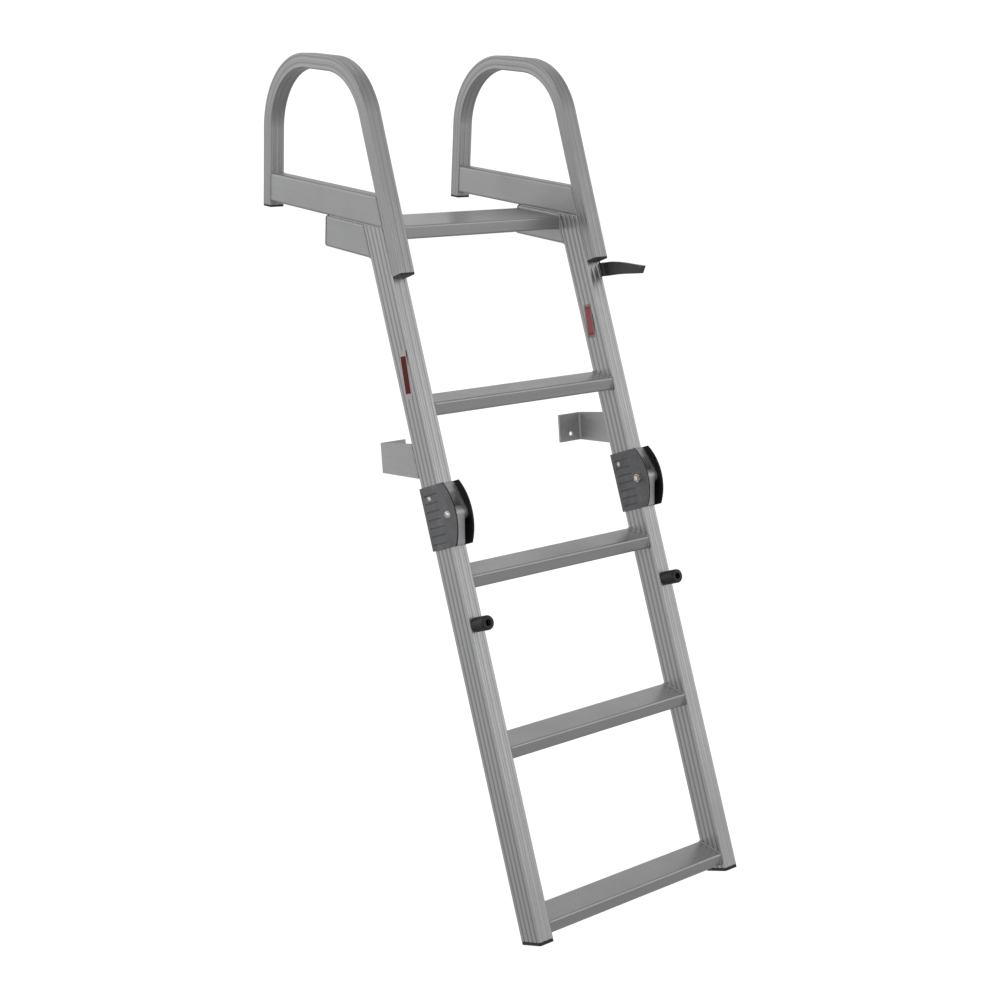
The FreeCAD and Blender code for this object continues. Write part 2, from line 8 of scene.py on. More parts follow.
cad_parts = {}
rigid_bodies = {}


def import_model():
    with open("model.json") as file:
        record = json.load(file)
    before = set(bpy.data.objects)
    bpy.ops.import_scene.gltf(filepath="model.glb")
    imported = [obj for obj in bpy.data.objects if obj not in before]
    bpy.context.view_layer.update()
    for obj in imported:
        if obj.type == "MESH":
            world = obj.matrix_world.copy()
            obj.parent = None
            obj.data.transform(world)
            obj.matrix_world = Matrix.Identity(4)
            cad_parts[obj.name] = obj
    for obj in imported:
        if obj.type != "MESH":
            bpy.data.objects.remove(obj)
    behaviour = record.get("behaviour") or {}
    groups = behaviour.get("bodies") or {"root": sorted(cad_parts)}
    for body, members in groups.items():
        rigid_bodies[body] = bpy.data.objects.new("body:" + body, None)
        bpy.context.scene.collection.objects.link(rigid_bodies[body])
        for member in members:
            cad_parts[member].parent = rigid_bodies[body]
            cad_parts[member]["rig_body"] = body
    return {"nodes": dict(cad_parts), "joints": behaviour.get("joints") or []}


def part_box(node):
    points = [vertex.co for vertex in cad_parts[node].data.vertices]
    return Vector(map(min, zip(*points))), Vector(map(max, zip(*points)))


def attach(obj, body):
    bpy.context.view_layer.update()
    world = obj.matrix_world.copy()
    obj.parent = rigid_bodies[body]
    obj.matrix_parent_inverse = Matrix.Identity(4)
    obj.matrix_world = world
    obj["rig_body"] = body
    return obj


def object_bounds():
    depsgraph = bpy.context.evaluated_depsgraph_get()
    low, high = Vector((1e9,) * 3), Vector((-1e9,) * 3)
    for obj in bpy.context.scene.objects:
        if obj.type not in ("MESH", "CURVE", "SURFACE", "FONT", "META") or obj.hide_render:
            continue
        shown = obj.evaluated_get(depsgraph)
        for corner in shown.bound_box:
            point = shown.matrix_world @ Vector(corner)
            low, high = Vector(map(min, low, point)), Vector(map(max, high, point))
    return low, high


# Folding boat boarding ladder, in metres. Every piece of the frame gets its finish here, and the
# weld beads, the nuts' nylon rings and the bolts' threads are added.

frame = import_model()
cad_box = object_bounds()
nodes = frame["nodes"]
joints = {joint["name"]: joint for joint in frame["joints"]}
fold_pivot = Vector(joints["fold"]["pos_m"])
up_rail = Vector(joints["catch_flex"]["axis"]).normalized()   # the catch hinges parallel to the rails
out_rail = Vector((0, -up_rail.z, up_rail.y))                 # square to the rails, towards the climber
lean = math.atan2(up_rail.y, up_rail.z)
across = Vector((1, 0, 0))
millimetre = 0.001

# ---- places on the ladder ----------------------------------------------------------------------
outer_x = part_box("right_upper_rail")[1].x
inner_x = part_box("right_upper_rail")[0].x
middle_x = (outer_x + inner_x) / 2
rail_depth = 50.8 * millimetre
pivot_out = 63.5 * millimetre        # the fold pivots' distance from the rails' backs
flute_pitch = 11.2 * millimetre
plate_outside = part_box("right_outer_hinge_plate")[1].x - middle_x
label_turn = math.radians(-7)        # the stickers sit a little askew on the rails
sides = {"left": -1, "right": 1}


def rail_place(x, along, out):
    """A point from its x, its distance up the rail from the fold pivot and out from the rail's back."""
    base = Vector((0, fold_pivot.y, fold_pivot.z)) - out_rail * pivot_out
    return base + across * x + up_rail * along + out_rail * out


# ---- welds -------------------------------------------------------------------------------------
bead_radius = 1.7 * millimetre
fine_bead_radius = 1.5 * millimetre  # round the steps and beside the handles' legs
wide_bead_radius = 2.5 * millimetre  # between the arms and the deck brackets
bead_ripple = 2.3 * millimetre       # from one ripple of a bead to the next
ripple_depth = 0.20                  # as shares of the bead's radius
wander_depth = 0.06
wander_length = 5.1 * millimetre
bead_step = 0.55 * millimetre
bead_sides = 8
tube_corner = 3.0 * millimetre       # corners of the beads round the arms and brackets
step_corner = 2.2 * millimetre
step_bead_gap = 0.4 * millimetre     # from the rails' inner faces to the middle of the steps' beads
hoop_lean = math.radians(23.7)
bracket_seam_end = 4.0 * millimetre  # short of the deck brackets' back ends
bracket_seam_inset = 2.8 * millimetre
standoff_seam = (73 * millimetre, 129 * millimetre)   # up the rail from the fold pivot
standoff_seam_insets = (0.3 * millimetre, 4.4 * millimetre)
standoff_seam_gap = 0.3 * millimetre
handle_leg_end = 402 * millimetre    # up the rail from the fold pivot
handle_seam_inset = 0.9 * millimetre
tongue_half_width = 7.5 * millimetre
fork_half_width = 11 * millimetre
tongue_seam_start = 18 * millimetre  # along the rail from the fold pivot
knuckle_length = 51 * millimetre

# ---- nuts and bolts ----------------------------------------------------------------------------
ring_seat = 0.2 * millimetre         # how deep a nylon ring sits in its nut
ring_shoulder = 0.4 * millimetre     # from the nut's end to the ring's chamfer
ring_height = 0.7 * millimetre
ring_chamfer = 0.5 * millimetre
ring_clearance = 0.1 * millimetre
thread_core = 0.6 * millimetre       # under the bolt's radius
thread_root = 0.25 * millimetre
thread_crest = 0.05 * millimetre     # over the bolt's radius
thread_turns = 3
facets = 32

# ---- camera and light --------------------------------------------------------------------------
camera_place = Vector((-1.7493, -2.4128, 0.4183))
camera_yaw = math.radians(-39.08)
camera_pitch = math.radians(16.60)
camera_roll = math.radians(2.73)
camera_lens = 59.5
camera_film = 36
camera_shift = (-0.01026, -0.02199)
camera_reach = 200
world_steps = (                      # height from straight down to straight up, then brightness
    (0.0, 0.35),
    (0.34, 0.48),
    (0.5, 0.61),
    (0.68, 0.78),
    (1.0, 0.42),
)
panel_side = (-0.63, 0.777, 0.0)     # a wide bright panel stands behind and to the left
panel_start = 0.72                   # cosines of the angle to the panel's middle
panel_full = 0.93
panel_gain = 1.4                     # light from the panel, and from everywhere else
room_gain = 0.9
ladder_middle = (0, -0.25, -0.4)

# ---- directions of streaks ---------------------------------------------------------------------
along_x = (0,)
along_y = (1,)
along_z = (2,)


# ---- materials made of nodes -------------------------------------------------------------------
class Finish:
    """A material made of nodes, with short ways to add the usual ones."""

    def __init__(self, name):
        self.material = bpy.data.materials.new(name)
        self.material.use_nodes = True
        self.tree = self.material.node_tree
        self.shader = self.tree.nodes["Principled BSDF"]
        self.place = None

    def node(self, kind, **inputs):
        """Adds a node and fills its sockets."""
        made = self.tree.nodes.new(kind)
        for key, value in inputs.items():
            self.feed(made, key, value)
        return made

    def feed(self, made, key, value):
        """Sets a socket, by its number or its name with underscores, to a value or an output."""
        name = key.replace("_", " ")
        if name.isdigit():
            name = int(name)
        if isinstance(value, bpy.types.NodeSocket):
            self.tree.links.new(value, made.inputs[name])
        else:
            made.inputs[name].default_value = value

    def set(self, **inputs):
        """Fills the shader's sockets."""
        for key, value in inputs.items():
            self.feed(self.shader, key, value)

    def coordinates(self, scale=(1, 1, 1), rotation=(0, 0, 0), location=(0, 0, 0)):
        """Object coordinates, moved, then stretched, then turned."""
        if self.place is None:
            self.place = self.node("ShaderNodeTexCoord").outputs["Object"]
        moved = self.node("ShaderNodeMapping", Vector=self.place, Location=location)
        turned = self.node("ShaderNodeMapping", Vector=moved.outputs[0], Rotation=rotation, Scale=scale)
        return turned.outputs[0]

    def noise(self, vector, scale, detail, roughness):
        made = self.node("ShaderNodeTexNoise", Vector=vector, Scale=scale, Detail=detail,
                         Roughness=roughness)
        return made.outputs["Fac"]

    def mottle(self, scale, detail=3.0, roughness=0.55):
        """Noise that is alike every way. scale is the number of its cells in a metre."""
        return self.noise(self.coordinates(), scale, detail, roughness)

    def streaks(self, axes, along, over, detail, roughness=0.55, turn=0.0):
        """Noise drawn out along some axes, with along cells in a metre there and over cells across.

        turn turns the noise's own grid about x, and the streaks still run along the axes.
        """
        stretch = [along if axis in axes else over for axis in range(3)]
        return self.noise(self.coordinates(stretch, (turn, 0, 0)), 1.0, detail, roughness)

    def math(self, operation, *values):
        """The result of one sum on outputs or numbers."""
        made = self.node("ShaderNodeMath")
        made.operation = operation
        for index, value in enumerate(values):
            self.feed(made, str(index), value)
        return made.outputs[0]

    def spread(self, value, low, high, start=0.3, end=0.7):
        """Stretches the part of a value between start and end to run from low to high."""
        made = self.node("ShaderNodeMapRange", Value=value, From_Min=start, From_Max=end,
                         To_Min=low, To_Max=high)
        return made.outputs[0]

    def blend(self, factor, first, second):
        """Mixes two colours: all first where factor is 0 and all second where it is 1."""
        made = self.tree.nodes.new("ShaderNodeMix")
        made.data_type = "RGBA"
        for index, value in ((0, factor), (6, first), (7, second)):
            if isinstance(value, bpy.types.NodeSocket):
                self.tree.links.new(value, made.inputs[index])
            else:
                made.inputs[index].default_value = value if index == 0 else (*value, 1)
        return made.outputs[2]

    def bump(self, height, distance, strength=1.0, normal=None):
        """Raises the surface by a distance where height is 1, on top of any other bump."""
        made = self.node("ShaderNodeBump", Height=height, Distance=distance, Strength=strength)
        if normal is not None:
            self.feed(made, "Normal", normal)
        return made.outputs[0]


def shade(tone, share, lift=0.0):
    """A tone made darker or lighter by a share, and lifted evenly."""
    return [channel * share + lift for channel in tone]


# ---- finishes ----------------------------------------------------------------------------------
def flute_dirt(finish):
    """Mask for painted shade: 1 along the middle of each flute on the sides of the rails and 0 between
    them.
    """
    middle_depth = rail_place(0, 0, rail_depth / 2)
    local = finish.coordinates(rotation=(lean, 0, 0), location=tuple(-middle_depth))
    split = finish.node("ShaderNodeSeparateXYZ", Vector=local)
    turns = finish.math("MULTIPLY", split.outputs["Y"], 2 * math.pi / flute_pitch)
    wave = finish.math("COSINE", turns)
    return finish.spread(wave, 1, 0, start=-0.95, end=-0.25)


def aluminium(name, tone, streak_turn, streak_axes, roughness=0.30, fluted=False):
    """Mill-finish aluminium: faint streaks, cloudy tarnish, pale specks and fine scratches, with painted
    shade along the flutes when fluted.
    """
    finish = Finish(name)
    lines = finish.streaks(streak_axes, along=2.5, over=260, detail=4.0, roughness=0.6,
                           turn=streak_turn)
    scratches = finish.streaks(streak_axes, along=14, over=900, detail=2.0, turn=streak_turn)
    clouds = finish.mottle(9.0, detail=5.0, roughness=0.62)
    specks = finish.mottle(850.0, detail=2.0)

    dark = shade(tone, 0.96)
    light = shade(tone, 1.03)
    dull = shade(tone, 0.92)
    pale = shade(tone, 1.12)
    # darker tone, laid along the flutes as painted shade
    darker_tone = shade(tone, 0.52)
    drawn = finish.blend(finish.spread(lines, 0, 1, start=0.35, end=0.65), dark, light)
    clouded = finish.blend(finish.spread(clouds, 0, 0.45, start=0.42, end=0.72), drawn, dull)
    colour = finish.blend(finish.spread(specks, 0, 0.35, start=0.60, end=0.72), clouded, pale)
    if fluted:
        # the flutes are darkened with painted shade, standing in for the shade in the grooves
        painted_shade_cover = 0.85
        flute_shade = finish.math("MULTIPLY", flute_dirt(finish), painted_shade_cover)
        colour = finish.blend(flute_shade, colour, darker_tone)

    clouded_roughness = finish.spread(clouds, -0.05, 0.07)
    drawn_roughness = finish.spread(lines, roughness - 0.03, roughness + 0.04)
    rough = finish.math("ADD", clouded_roughness, drawn_roughness)
    fine = finish.bump(scratches, distance=0.02 * millimetre, strength=0.5)
    drawn_bump = finish.bump(lines, distance=0.04 * millimetre, strength=0.6, normal=fine)
    finish.set(Base_Color=colour, Roughness=rough, Metallic=0.85, Normal=drawn_bump)
    return finish.material


def moulded_plastic(name, tone, roughness, grain):
    """Black moulding with a fine spark-eroded grain and slightly worn, paler patches."""
    finish = Finish(name)
    grains = finish.mottle(grain)
    patches = finish.mottle(38.0, detail=4.0)
    dust = finish.mottle(420.0, detail=2.0)
    worn = shade(tone, 1.35, lift=0.004)
    dusty = shade(tone, 1.8, lift=0.01)
    base = finish.blend(finish.spread(patches, 0, 0.8, start=0.4, end=0.7), tone, worn)
    colour = finish.blend(finish.spread(dust, 0, 0.3, start=0.62, end=0.75), base, dusty)
    rough = finish.spread(patches, roughness - 0.05, roughness + 0.08)
    grain_bump = finish.bump(grains, distance=0.06 * millimetre, strength=0.55)
    finish.set(Base_Color=colour, Roughness=rough, Specular_IOR_Level=0.45, Normal=grain_bump)
    return finish.material


def hinge_plastic(name):
    """Black moulding with rubbed marks: the faces towards the rail are painted black as shade, and the
    grey outside is partly the moulding's own dull grey and partly painted sheen.
    """
    finish = Finish(name)
    black = (0.006, 0.006, 0.0065)
    grey = (0.115, 0.117, 0.122)
    pale_grey = (0.165, 0.167, 0.173)
    rub_mark = (0.24, 0.24, 0.245)
    grains = finish.mottle(900.0)
    patches = finish.mottle(45.0, detail=4.0)
    rubs = finish.streaks(along_y + along_z, along=40, over=300, detail=4.0, turn=lean)
    split = finish.node("ShaderNodeSeparateXYZ", Vector=finish.coordinates())
    from_centre = finish.math("ABSOLUTE", split.outputs["X"])
    from_middle = finish.math("ABSOLUTE", finish.math("SUBTRACT", from_centre, middle_x))
    # faces towards the rail stay black as painted shade; the outside is grey, partly painted sheen
    shade_edge = plate_outside - 1.4 * millimetre
    outside_start = plate_outside - 0.9 * millimetre
    lit_side = finish.spread(from_middle, 0, 1, start=shade_edge, end=outside_start)
    outside_grey = finish.blend(finish.spread(patches, 0, 0.9, start=0.35, end=0.7), grey, pale_grey)
    rubbed = finish.blend(finish.spread(rubs, 0, 0.5, start=0.55, end=0.75), outside_grey, rub_mark)
    colour = finish.blend(lit_side, black, rubbed)
    grain_bump = finish.bump(grains, distance=0.06 * millimetre, strength=0.6)
    finish.set(Base_Color=colour, Roughness=finish.spread(patches, 0.42, 0.55), Specular_IOR_Level=0.4,
               Normal=grain_bump)
    return finish.material


def rubber(name):
    """Black rubber with a faint bloom and shallow moulding marks."""
    finish = Finish(name)
    black = (0.004, 0.004, 0.0045)
    bloomed = (0.011, 0.011, 0.012)
    bloom = finish.mottle(120.0, detail=4.0)
    marks = finish.streaks(along_x + along_y, along=20, over=900, detail=2.0,
                           turn=lean + math.pi / 2)
    colour = finish.blend(finish.spread(bloom, 0, 1, start=0.4, end=0.7), black, bloomed)
    mark_bump = finish.bump(marks, distance=0.05 * millimetre, strength=0.4)
    finish.set(Base_Color=colour, Roughness=finish.spread(bloom, 0.34, 0.5), Specular_IOR_Level=0.5,
               Normal=mark_bump)
    return finish.material


def stainless(name):
    """Bright stainless fasteners with fine tool marks and a little grime."""
    finish = Finish(name)
    bright = (0.80, 0.80, 0.79)
    darker_tone = (0.45, 0.44, 0.42)
    tool_marks = finish.streaks(along_x, along=60, over=900, detail=3.0)
    grime = finish.mottle(260.0)
    colour = finish.blend(finish.spread(grime, 0, 0.5, start=0.45, end=0.75), bright, darker_tone)
    mark_bump = finish.bump(tool_marks, distance=0.02 * millimetre, strength=0.5)
    finish.set(Base_Color=colour, Metallic=1.0, Roughness=finish.spread(grime, 0.20, 0.34),
               Normal=mark_bump)
    return finish.material


def nylon(name, tone):
    """Locking ring or bush of plain nylon."""
    finish = Finish(name)
    mottle = finish.mottle(500.0)
    dark = shade(tone, 0.8)
    grain_bump = finish.bump(mottle, distance=0.03 * millimetre, strength=0.4)
    finish.set(Base_Color=finish.blend(mottle, dark, tone), Roughness=0.4, Normal=grain_bump)
    return finish.material


def weld_metal(name):
    """Bright frosty bead with heat-tinted, sooty patches."""
    finish = Finish(name)
    bright = (0.44, 0.44, 0.44)
    sooty = (0.27, 0.265, 0.26)
    soot = finish.mottle(160.0, detail=4.0)
    frost = finish.mottle(1500.0, detail=2.0)
    colour = finish.blend(finish.spread(soot, 0, 0.6, start=0.45, end=0.75), bright, sooty)
    frost_bump = finish.bump(frost, distance=0.04 * millimetre, strength=0.5)
    finish.set(Base_Color=colour, Metallic=0.75, Roughness=finish.spread(frost, 0.36, 0.52),
               Normal=frost_bump)
    return finish.material


def label_film(node, half_size, border, panel, bar):
    """Blank sticker: a border, a coloured panel and a few plain bars, with no lettering.

    half_size is the panel's half length and half width in millimetres.
    """
    finish = Finish(node.replace("_", " "))
    bar_rate = 1.9            # radians of the row of bars to each millimetre across the sticker
    bar_level = 0.72          # leaves each bar narrower than the gap beside it
    bar_share = 0.8           # of the panel's length
    low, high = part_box(node)
    centre = (low + high) / 2
    per_metre = 1 / millimetre
    local = finish.coordinates((per_metre, per_metre, per_metre), (lean + label_turn, 0, 0),
                               tuple(-centre))
    split = finish.node("ShaderNodeSeparateXYZ", Vector=local)
    side = split.outputs["Y"]
    from_end = finish.math("ABSOLUTE", split.outputs["Z"])
    half_length, half_width = half_size
    inside_length = finish.math("LESS_THAN", from_end, half_length)
    inside_width = finish.math("LESS_THAN", finish.math("ABSOLUTE", side), half_width)
    in_panel = finish.math("MULTIPLY", inside_length, inside_width)
    ripple = finish.math("SINE", finish.math("MULTIPLY", side, bar_rate))
    on_ripple = finish.math("GREATER_THAN", ripple, bar_level)
    in_bar_length = finish.math("LESS_THAN", from_end, half_length * bar_share)
    bars = finish.math("MULTIPLY", on_ripple, in_bar_length)
    grain = finish.mottle(300.0)
    worn_border = finish.blend(grain, border, shade(border, 0.85))
    printed = finish.blend(bars, panel, bar)
    colour = finish.blend(in_panel, worn_border, printed)
    grain_bump = finish.bump(grain, distance=0.02 * millimetre, strength=0.3)
    finish.set(Base_Color=colour, Roughness=finish.spread(grain, 0.45, 0.6), Specular_IOR_Level=0.15,
               Normal=grain_bump)
    return finish.material


def plain_floor(name):
    """White seamless paper."""
    finish = Finish(name)
    tooth = finish.mottle(60.0)
    paper = finish.blend(tooth, (0.19, 0.19, 0.19), (0.21, 0.21, 0.21))
    finish.set(Base_Color=paper, Roughness=0.9, Emission_Color=(1, 1, 1, 1), Emission_Strength=0.98,
               Specular_IOR_Level=0.1)
    return finish.material


# ---- which finish each piece has ---------------------------------------------------------------
rail_tone = (0.49, 0.492, 0.496)
hoop_tone = (0.40, 0.402, 0.406)
arm_tone = (0.42, 0.422, 0.426)
step_tone = (0.44, 0.442, 0.446)
plate_tone = (0.50, 0.50, 0.50)
knuckle_tone = (0.52, 0.52, 0.525)
# the rails' flutes get painted shade
rail_finish = aluminium("rail aluminium", rail_tone, lean, along_z, fluted=True)
hoop_finish = aluminium("hoop aluminium", hoop_tone, 0.0, along_y + along_z)
arm_finish = aluminium("arm aluminium", arm_tone, 0.0, along_y, roughness=0.36)
step_finish = aluminium("step aluminium", step_tone, 0.0, along_x)
plate_finish = aluminium("plate aluminium", plate_tone, 0.0, along_y, roughness=0.5)
knuckle_finish = aluminium("knuckle aluminium", knuckle_tone, lean, along_z, roughness=0.42)
cap_finish = moulded_plastic("black cap", (0.012, 0.012, 0.012), roughness=0.42, grain=1300.0)
# two-tone: painted shade on the faces towards the rail, partly painted sheen outside
plate_moulding_finish = hinge_plastic("hinge moulding")
catch_finish = moulded_plastic("catch moulding", (0.042, 0.042, 0.042), roughness=0.34, grain=1500.0)
rubber_finish = rubber("bumper rubber")
steel_finish = stainless("stainless")
bush_finish = nylon("bush nylon", (0.75, 0.74, 0.70))
red_ring_finish = nylon("red lock ring nylon", (0.48, 0.13, 0.10))
white_ring_finish = nylon("white lock ring nylon", (0.62, 0.61, 0.58))
bead_finish = weld_metal("weld metal")

finish_by_ending = {
    "_upper_rail": rail_finish,
    "_lower_rail": rail_finish,
    "_handle_hoop": hoop_finish,
    "_deck_arm": arm_finish,
    "_deck_bracket": arm_finish,
    "_standoff_bracket": plate_finish,
    "_upper_knuckle": knuckle_finish,
    "_lower_knuckle": knuckle_finish,
    "_step": step_finish,
    "_cap": cap_finish,
    "_hinge_plate": plate_moulding_finish,
    "_bush": bush_finish,
    "_bolt": steel_finish,
    "_nut": steel_finish,
    "_screw": steel_finish,
    "_screws": steel_finish,
    "_bumper": rubber_finish,
    "fold_catch": catch_finish,
    "catch_base": catch_finish,
    "left_label": label_film("left_label", (31, 7.5), border=(0.56, 0.54, 0.53),
                             panel=(0.15, 0.012, 0.014), bar=(0.04, 0.02, 0.02)),
    "right_label": label_film("right_label", (26, 7.5), border=(0.36, 0.30, 0.30),
                              panel=(0.36, 0.075, 0.085), bar=(0.42, 0.26, 0.26)),
}

for name, piece in nodes.items():
    endings = [ending for ending in finish_by_ending if name.endswith(ending)]
    piece.data.materials.clear()
    piece.data.materials.append(finish_by_ending[max(endings, key=len)])


# ---- meshes ------------------------------------------------------------------------------------
def smooth_mesh(name, mesh_data, material):
    """Turns mesh data into a smooth-shaded mesh object in the scene."""
    mesh = bpy.data.meshes.new(name)
    mesh_data.to_mesh(mesh)
    mesh_data.free()
    mesh.materials.append(material)
    for polygon in mesh.polygons:
        polygon.use_smooth = True
    piece = bpy.data.objects.new(name, mesh)
    bpy.context.scene.collection.objects.link(piece)
    return piece


def new_piece(name, mesh_data, material, node):
    """Makes a mesh object that moves with one of the frame's pieces."""
    piece = smooth_mesh(name, mesh_data, material)
    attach(piece, nodes[node]["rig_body"])


def following_pairs(items, closed):
    """Each item with the one after it, and the last with the first if the row is closed."""
    return list(zip(items, items[1:] + items[:1])) if closed else list(zip(items, items[1:]))


def add_tube(data, rings, closed):
    """Joins rings that have equally many corners, each to the next."""
    for ring, following in following_pairs(rings, closed):
        edges = list(zip(ring, following))
        for (near, far), (next_near, next_far) in following_pairs(edges, closed=True):
            data.faces.new((near, next_near, next_far, far))


def sample_path(points, closed):
    """Evenly spaced places along straight runs, with the direction at each."""
    places = []
    for start, end in following_pairs(points, closed):
        length = (end - start).length
        count = max(2, round(length / bead_step))
        direction = (end - start).normalized()
        for index in range(count):
            places.append((start.lerp(end, index / count), direction))
    if not closed:
        places.append((points[-1], (points[-1] - points[-2]).normalized()))
    return places


def add_bead(data, points, closed, radius):
    """Adds a rippled weld bead along a path to a mesh. An open bead's ends taper."""
    places = sample_path(points, closed)
    end_size = 0.35
    end_growth = 0.2
    nearly_across = 0.8
    rings = []
    travelled = 0.0
    last = places[0][0]
    for index, (place, direction) in enumerate(places):
        travelled += (place - last).length
        last = place
        helper = across if abs(direction.x) < nearly_across else Vector((0, 0, 1))
        first = direction.cross(helper).normalized()
        second = direction.cross(first)
        phase = (travelled / bead_ripple) % 1.0
        swell = 1 - ripple_depth + ripple_depth * math.sqrt(max(0.0, 1 - (2 * phase - 1) ** 2))
        if not closed:
            from_end = min(index, len(places) - 1 - index)
            swell *= min(1.0, end_size + end_growth * from_end)
        wander = wander_depth * math.sin(travelled / wander_length) + 1.0
        ring = []
        for side in range(bead_sides):
            angle = 2 * math.pi * side / bead_sides
            offset = first * math.cos(angle) + second * math.sin(angle)
            ring.append(data.verts.new(place + offset * (radius * swell * wander)))
        rings.append(ring)
    add_tube(data, rings, closed)
    if not closed:
        data.faces.new(rings[0])
        data.faces.new(list(reversed(rings[-1])))


def weld(name, node, paths, closed=False, radius=bead_radius):
    """One welded seam or group of seams, moving with a piece that it joins."""
    data = bmesh.new()
    for points in paths:
        add_bead(data, points, closed, radius)
    bmesh.ops.recalc_face_normals(data, faces=data.faces)
    new_piece(name, data, bead_finish, node)


def along_at(level, out):
    """Distance along the rail at which it reaches a height, at a distance out from its back."""
    return (level - rail_place(0, 0, out).z) / up_rail.z


def ring_points(low_u, high_u, low_v, high_v, round_off, place):
    """Eight points round a rectangle with its corners cut, mapped into space by place."""
    flat = [
        (low_u + round_off, low_v), (high_u - round_off, low_v),
        (high_u, low_v + round_off), (high_u, high_v - round_off),
        (high_u - round_off, high_v), (low_u + round_off, high_v),
        (low_u, high_v - round_off), (low_u, low_v + round_off),
    ]
    return [place(u, v) for u, v in flat]


def step_welds():
    """A bead round each end of each step, where it meets the rails' or brackets' inner faces."""
    for step_name in ("top_step", "second_step", "third_step", "fourth_step", "bottom_step"):
        low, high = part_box(step_name)
        for side_name, side in sides.items():
            x = side * (inner_x - step_bead_gap)
            outline = ring_points(low.y, high.y, low.z, high.z, step_corner,
                                  lambda y, z: Vector((x, y, z)))
            weld(f"{side_name}_{step_name}_weld", step_name, [outline], closed=True,
                 radius=fine_bead_radius)


def sloping_end(node, side, slope, at_back=False):
    """Outline of the end of a level tube that is cut to a slope, or of its upright back end."""
    low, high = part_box(node)
    start = high.y if at_back else low.y
    return ring_points(min(side * inner_x, side * outer_x), max(side * inner_x, side * outer_x),
                       low.z, high.z, tube_corner,
                       lambda x, z: Vector((x, start + slope * (z - low.z), z)))


def bracket_welds(side_name, side):
    """Beads round the arm's two ends and the deck bracket's front end, and along their joint."""
    arm = side_name + "_deck_arm"
    bracket = side_name + "_deck_bracket"
    arm_front = sloping_end(arm, side, math.tan(hoop_lean))
    arm_back = sloping_end(arm, side, 0.0, at_back=True)
    bracket_front = sloping_end(bracket, side, math.tan(lean))
    weld(side_name + "_arm_front_weld", arm, [arm_front], closed=True)
    weld(side_name + "_arm_back_weld", arm, [arm_back], closed=True)
    weld(side_name + "_bracket_weld", bracket, [bracket_front], closed=True)

    joint_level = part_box(arm)[0].z
    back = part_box(bracket)[1].y - bracket_seam_end
    seams = []
    for x in (side * (outer_x - bracket_seam_inset), side * (inner_x + bracket_seam_inset)):
        front = rail_place(x, along_at(joint_level, rail_depth), rail_depth)
        seams.append([front, Vector((x, back, joint_level))])
    weld(side_name + "_arm_joint_weld", arm, seams, radius=wide_bead_radius)


def rail_welds(side_name, side):
    """Beads along the rail's back and front, to the stand-off bracket and the handle's leg."""
    seams = []
    for inset in standoff_seam_insets:
        x = side * (outer_x - inset)
        seams.append([rail_place(x, along, -standoff_seam_gap) for along in standoff_seam])
    weld(side_name + "_standoff_weld", side_name + "_standoff_bracket", seams)

    leg_top = along_at(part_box(side_name + "_deck_arm")[0].z, rail_depth)
    seams = []
    for x in (side * (outer_x - handle_seam_inset), side * (inner_x + handle_seam_inset)):
        seams.append([rail_place(x, along, rail_depth) for along in (handle_leg_end, leg_top)])
    weld(side_name + "_handle_weld", side_name + "_handle_hoop", seams, radius=fine_bead_radius)


def knuckle_welds(side_name, side):
    """A bead along both sides and the end of the tongue, and across the end of the fork."""
    x = side * middle_x
    corners = (
        (-tongue_half_width, -tongue_seam_start), (-tongue_half_width, -knuckle_length),
        (tongue_half_width, -knuckle_length), (tongue_half_width, -tongue_seam_start),
    )
    seam = [rail_place(x + offset, along, rail_depth) for offset, along in corners]
    weld(side_name + "_tongue_weld", side_name + "_lower_knuckle", [seam])
    seam = [rail_place(x + offset, knuckle_length, rail_depth)
            for offset in (-fork_half_width, fork_half_width)]
    weld(side_name + "_fork_weld", side_name + "_upper_knuckle", [seam])


# ---- nut rings and bolt ends -------------------------------------------------------------------
def turned(name, node, profile, material, slot):
    """A ring turned about a piece's middle. profile is a closed outline of (x, radius) points."""
    low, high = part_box(node)
    centre = (low + high) / 2
    data = bmesh.new()
    rings = []
    for x, radius in profile:
        ring = []
        for index in range(facets):
            angle = 2 * math.pi * index / facets
            ring.append(data.verts.new((x, centre.y + radius * math.cos(angle),
                                        centre.z + radius * math.sin(angle))))
        rings.append(ring)
    add_tube(data, rings, closed=True)
    bmesh.ops.recalc_face_normals(data, faces=data.faces)
    new_piece(name, data, material, node)


def inner_end(node, side):
    """The x of the end of a cross-wise piece that is nearer the ladder's middle."""
    low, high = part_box(node)
    return low.x if side > 0 else high.x


def nut_details(side_name, side, kind, bolt_radius, ring_radius, ring_finish):
    """Nylon ring at the nut's inner end and the thread on the bolt that stands out of it."""
    nut = f"{side_name}_{kind}_nut"
    bolt = f"{side_name}_{kind}_bolt"
    nut_end = inner_end(nut, side)
    bolt_end = inner_end(bolt, side)
    seat = nut_end + side * ring_seat
    shoulder = nut_end - side * ring_shoulder
    face = nut_end - side * ring_height
    bore = bolt_radius + ring_clearance
    outline = [(seat, bore), (seat, ring_radius), (shoulder, ring_radius),
               (face, ring_radius - ring_chamfer), (face, bore)]
    turned(nut + "_ring", nut, outline, ring_finish, "bush_plastic")

    threads = [(nut_end, bolt_radius - thread_core)]
    for index in range(thread_turns):
        crest = nut_end + (bolt_end - nut_end) * (index + 0.5) / thread_turns
        root = nut_end + (bolt_end - nut_end) * (index + 0.95) / thread_turns
        threads.append((crest, bolt_radius + thread_crest))
        threads.append((root, bolt_radius - thread_root))
    threads.append((root, bolt_radius - thread_core))
    turned(bolt + "_thread", bolt, threads, steel_finish, "stainless")


